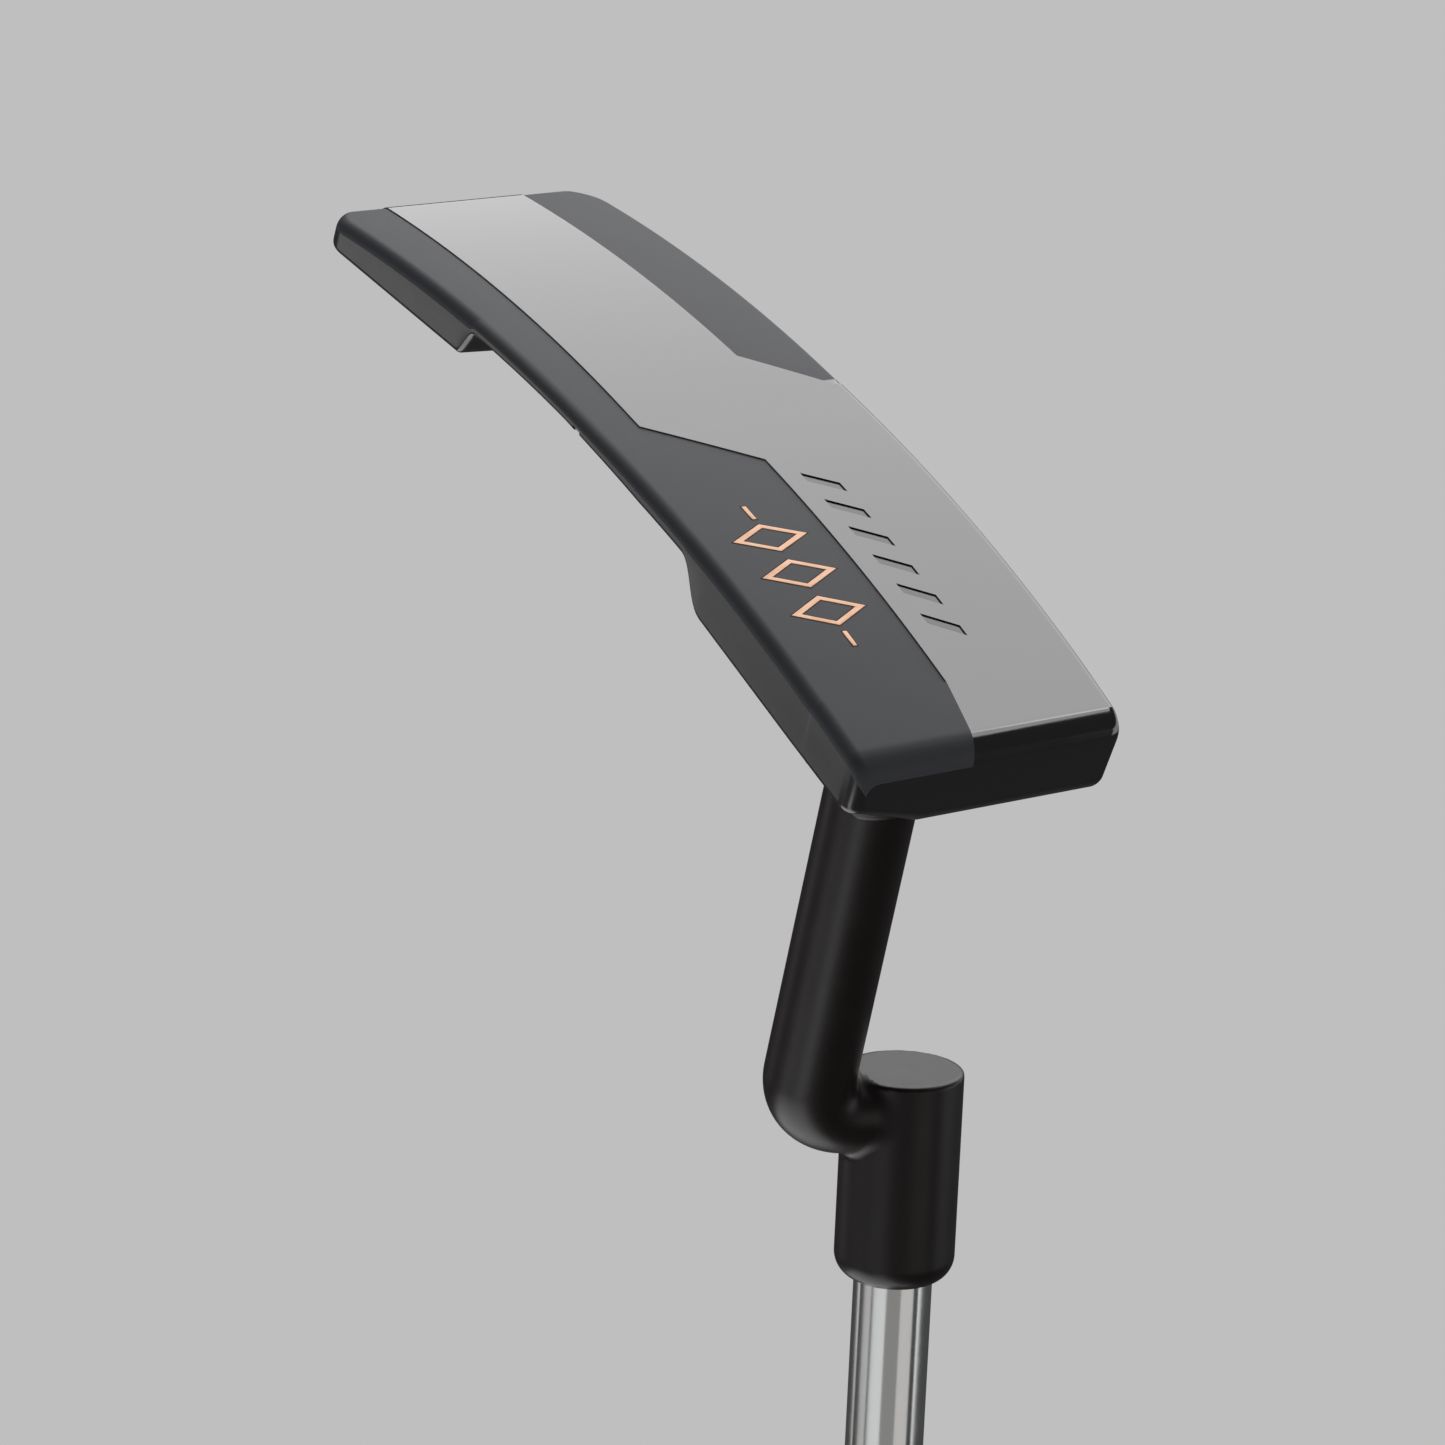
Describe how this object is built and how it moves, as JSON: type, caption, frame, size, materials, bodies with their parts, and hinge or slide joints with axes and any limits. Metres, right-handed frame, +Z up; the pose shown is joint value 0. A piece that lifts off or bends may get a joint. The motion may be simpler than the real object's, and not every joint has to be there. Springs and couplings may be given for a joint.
{
  "type": "blade putter",
  "caption": "Right-handed blade putter with a cambered sole, plumber's neck, stepped steel shaft and pistol grip, for rolling a golf ball on the green.",
  "frame": {"origin": "middle of the sole, at the lowest point of its camber, with the club at address", "axes": "+X from heel to toe, +Y to the target (out of the striking face), +Z up"},
  "size_m": [0.3793, 0.0492, 0.819],
  "materials": {
    "head_black": "black vapour-deposited coat on milled steel, polished land between blasted recesses",
    "neck_black": "black satin coat on steel",
    "copper": "pale copper, polished",
    "shaft_chrome": "polished chrome",
    "sight_paint": "white enamel",
    "bond_epoxy": "cured epoxy",
    "plug_nylon": "moulded nylon",
    "tape_paper": "masking tape",
    "grip_rubber": "matte textured rubber",
    "cap_rubber": "smooth moulded rubber"
  },
  "bodies": {
    "root": {"putter_head": "head_black", "sight_line_fill": "sight_paint", "ornament_rhombus_1": "copper", "ornament_rhombus_2": "copper", "ornament_rhombus_3": "copper", "ornament_bar_toe": "copper", "ornament_bar_heel": "copper", "plumber_neck": "neck_black", "neck_weld_bead": "neck_black", "shaft": "shaft_chrome", "shaft_bond": "bond_epoxy", "shaft_tip_plug": "plug_nylon", "grip_tape": "tape_paper", "grip_sleeve": "grip_rubber", "grip_cap": "cap_rubber"}
  },
  "joints": []
}
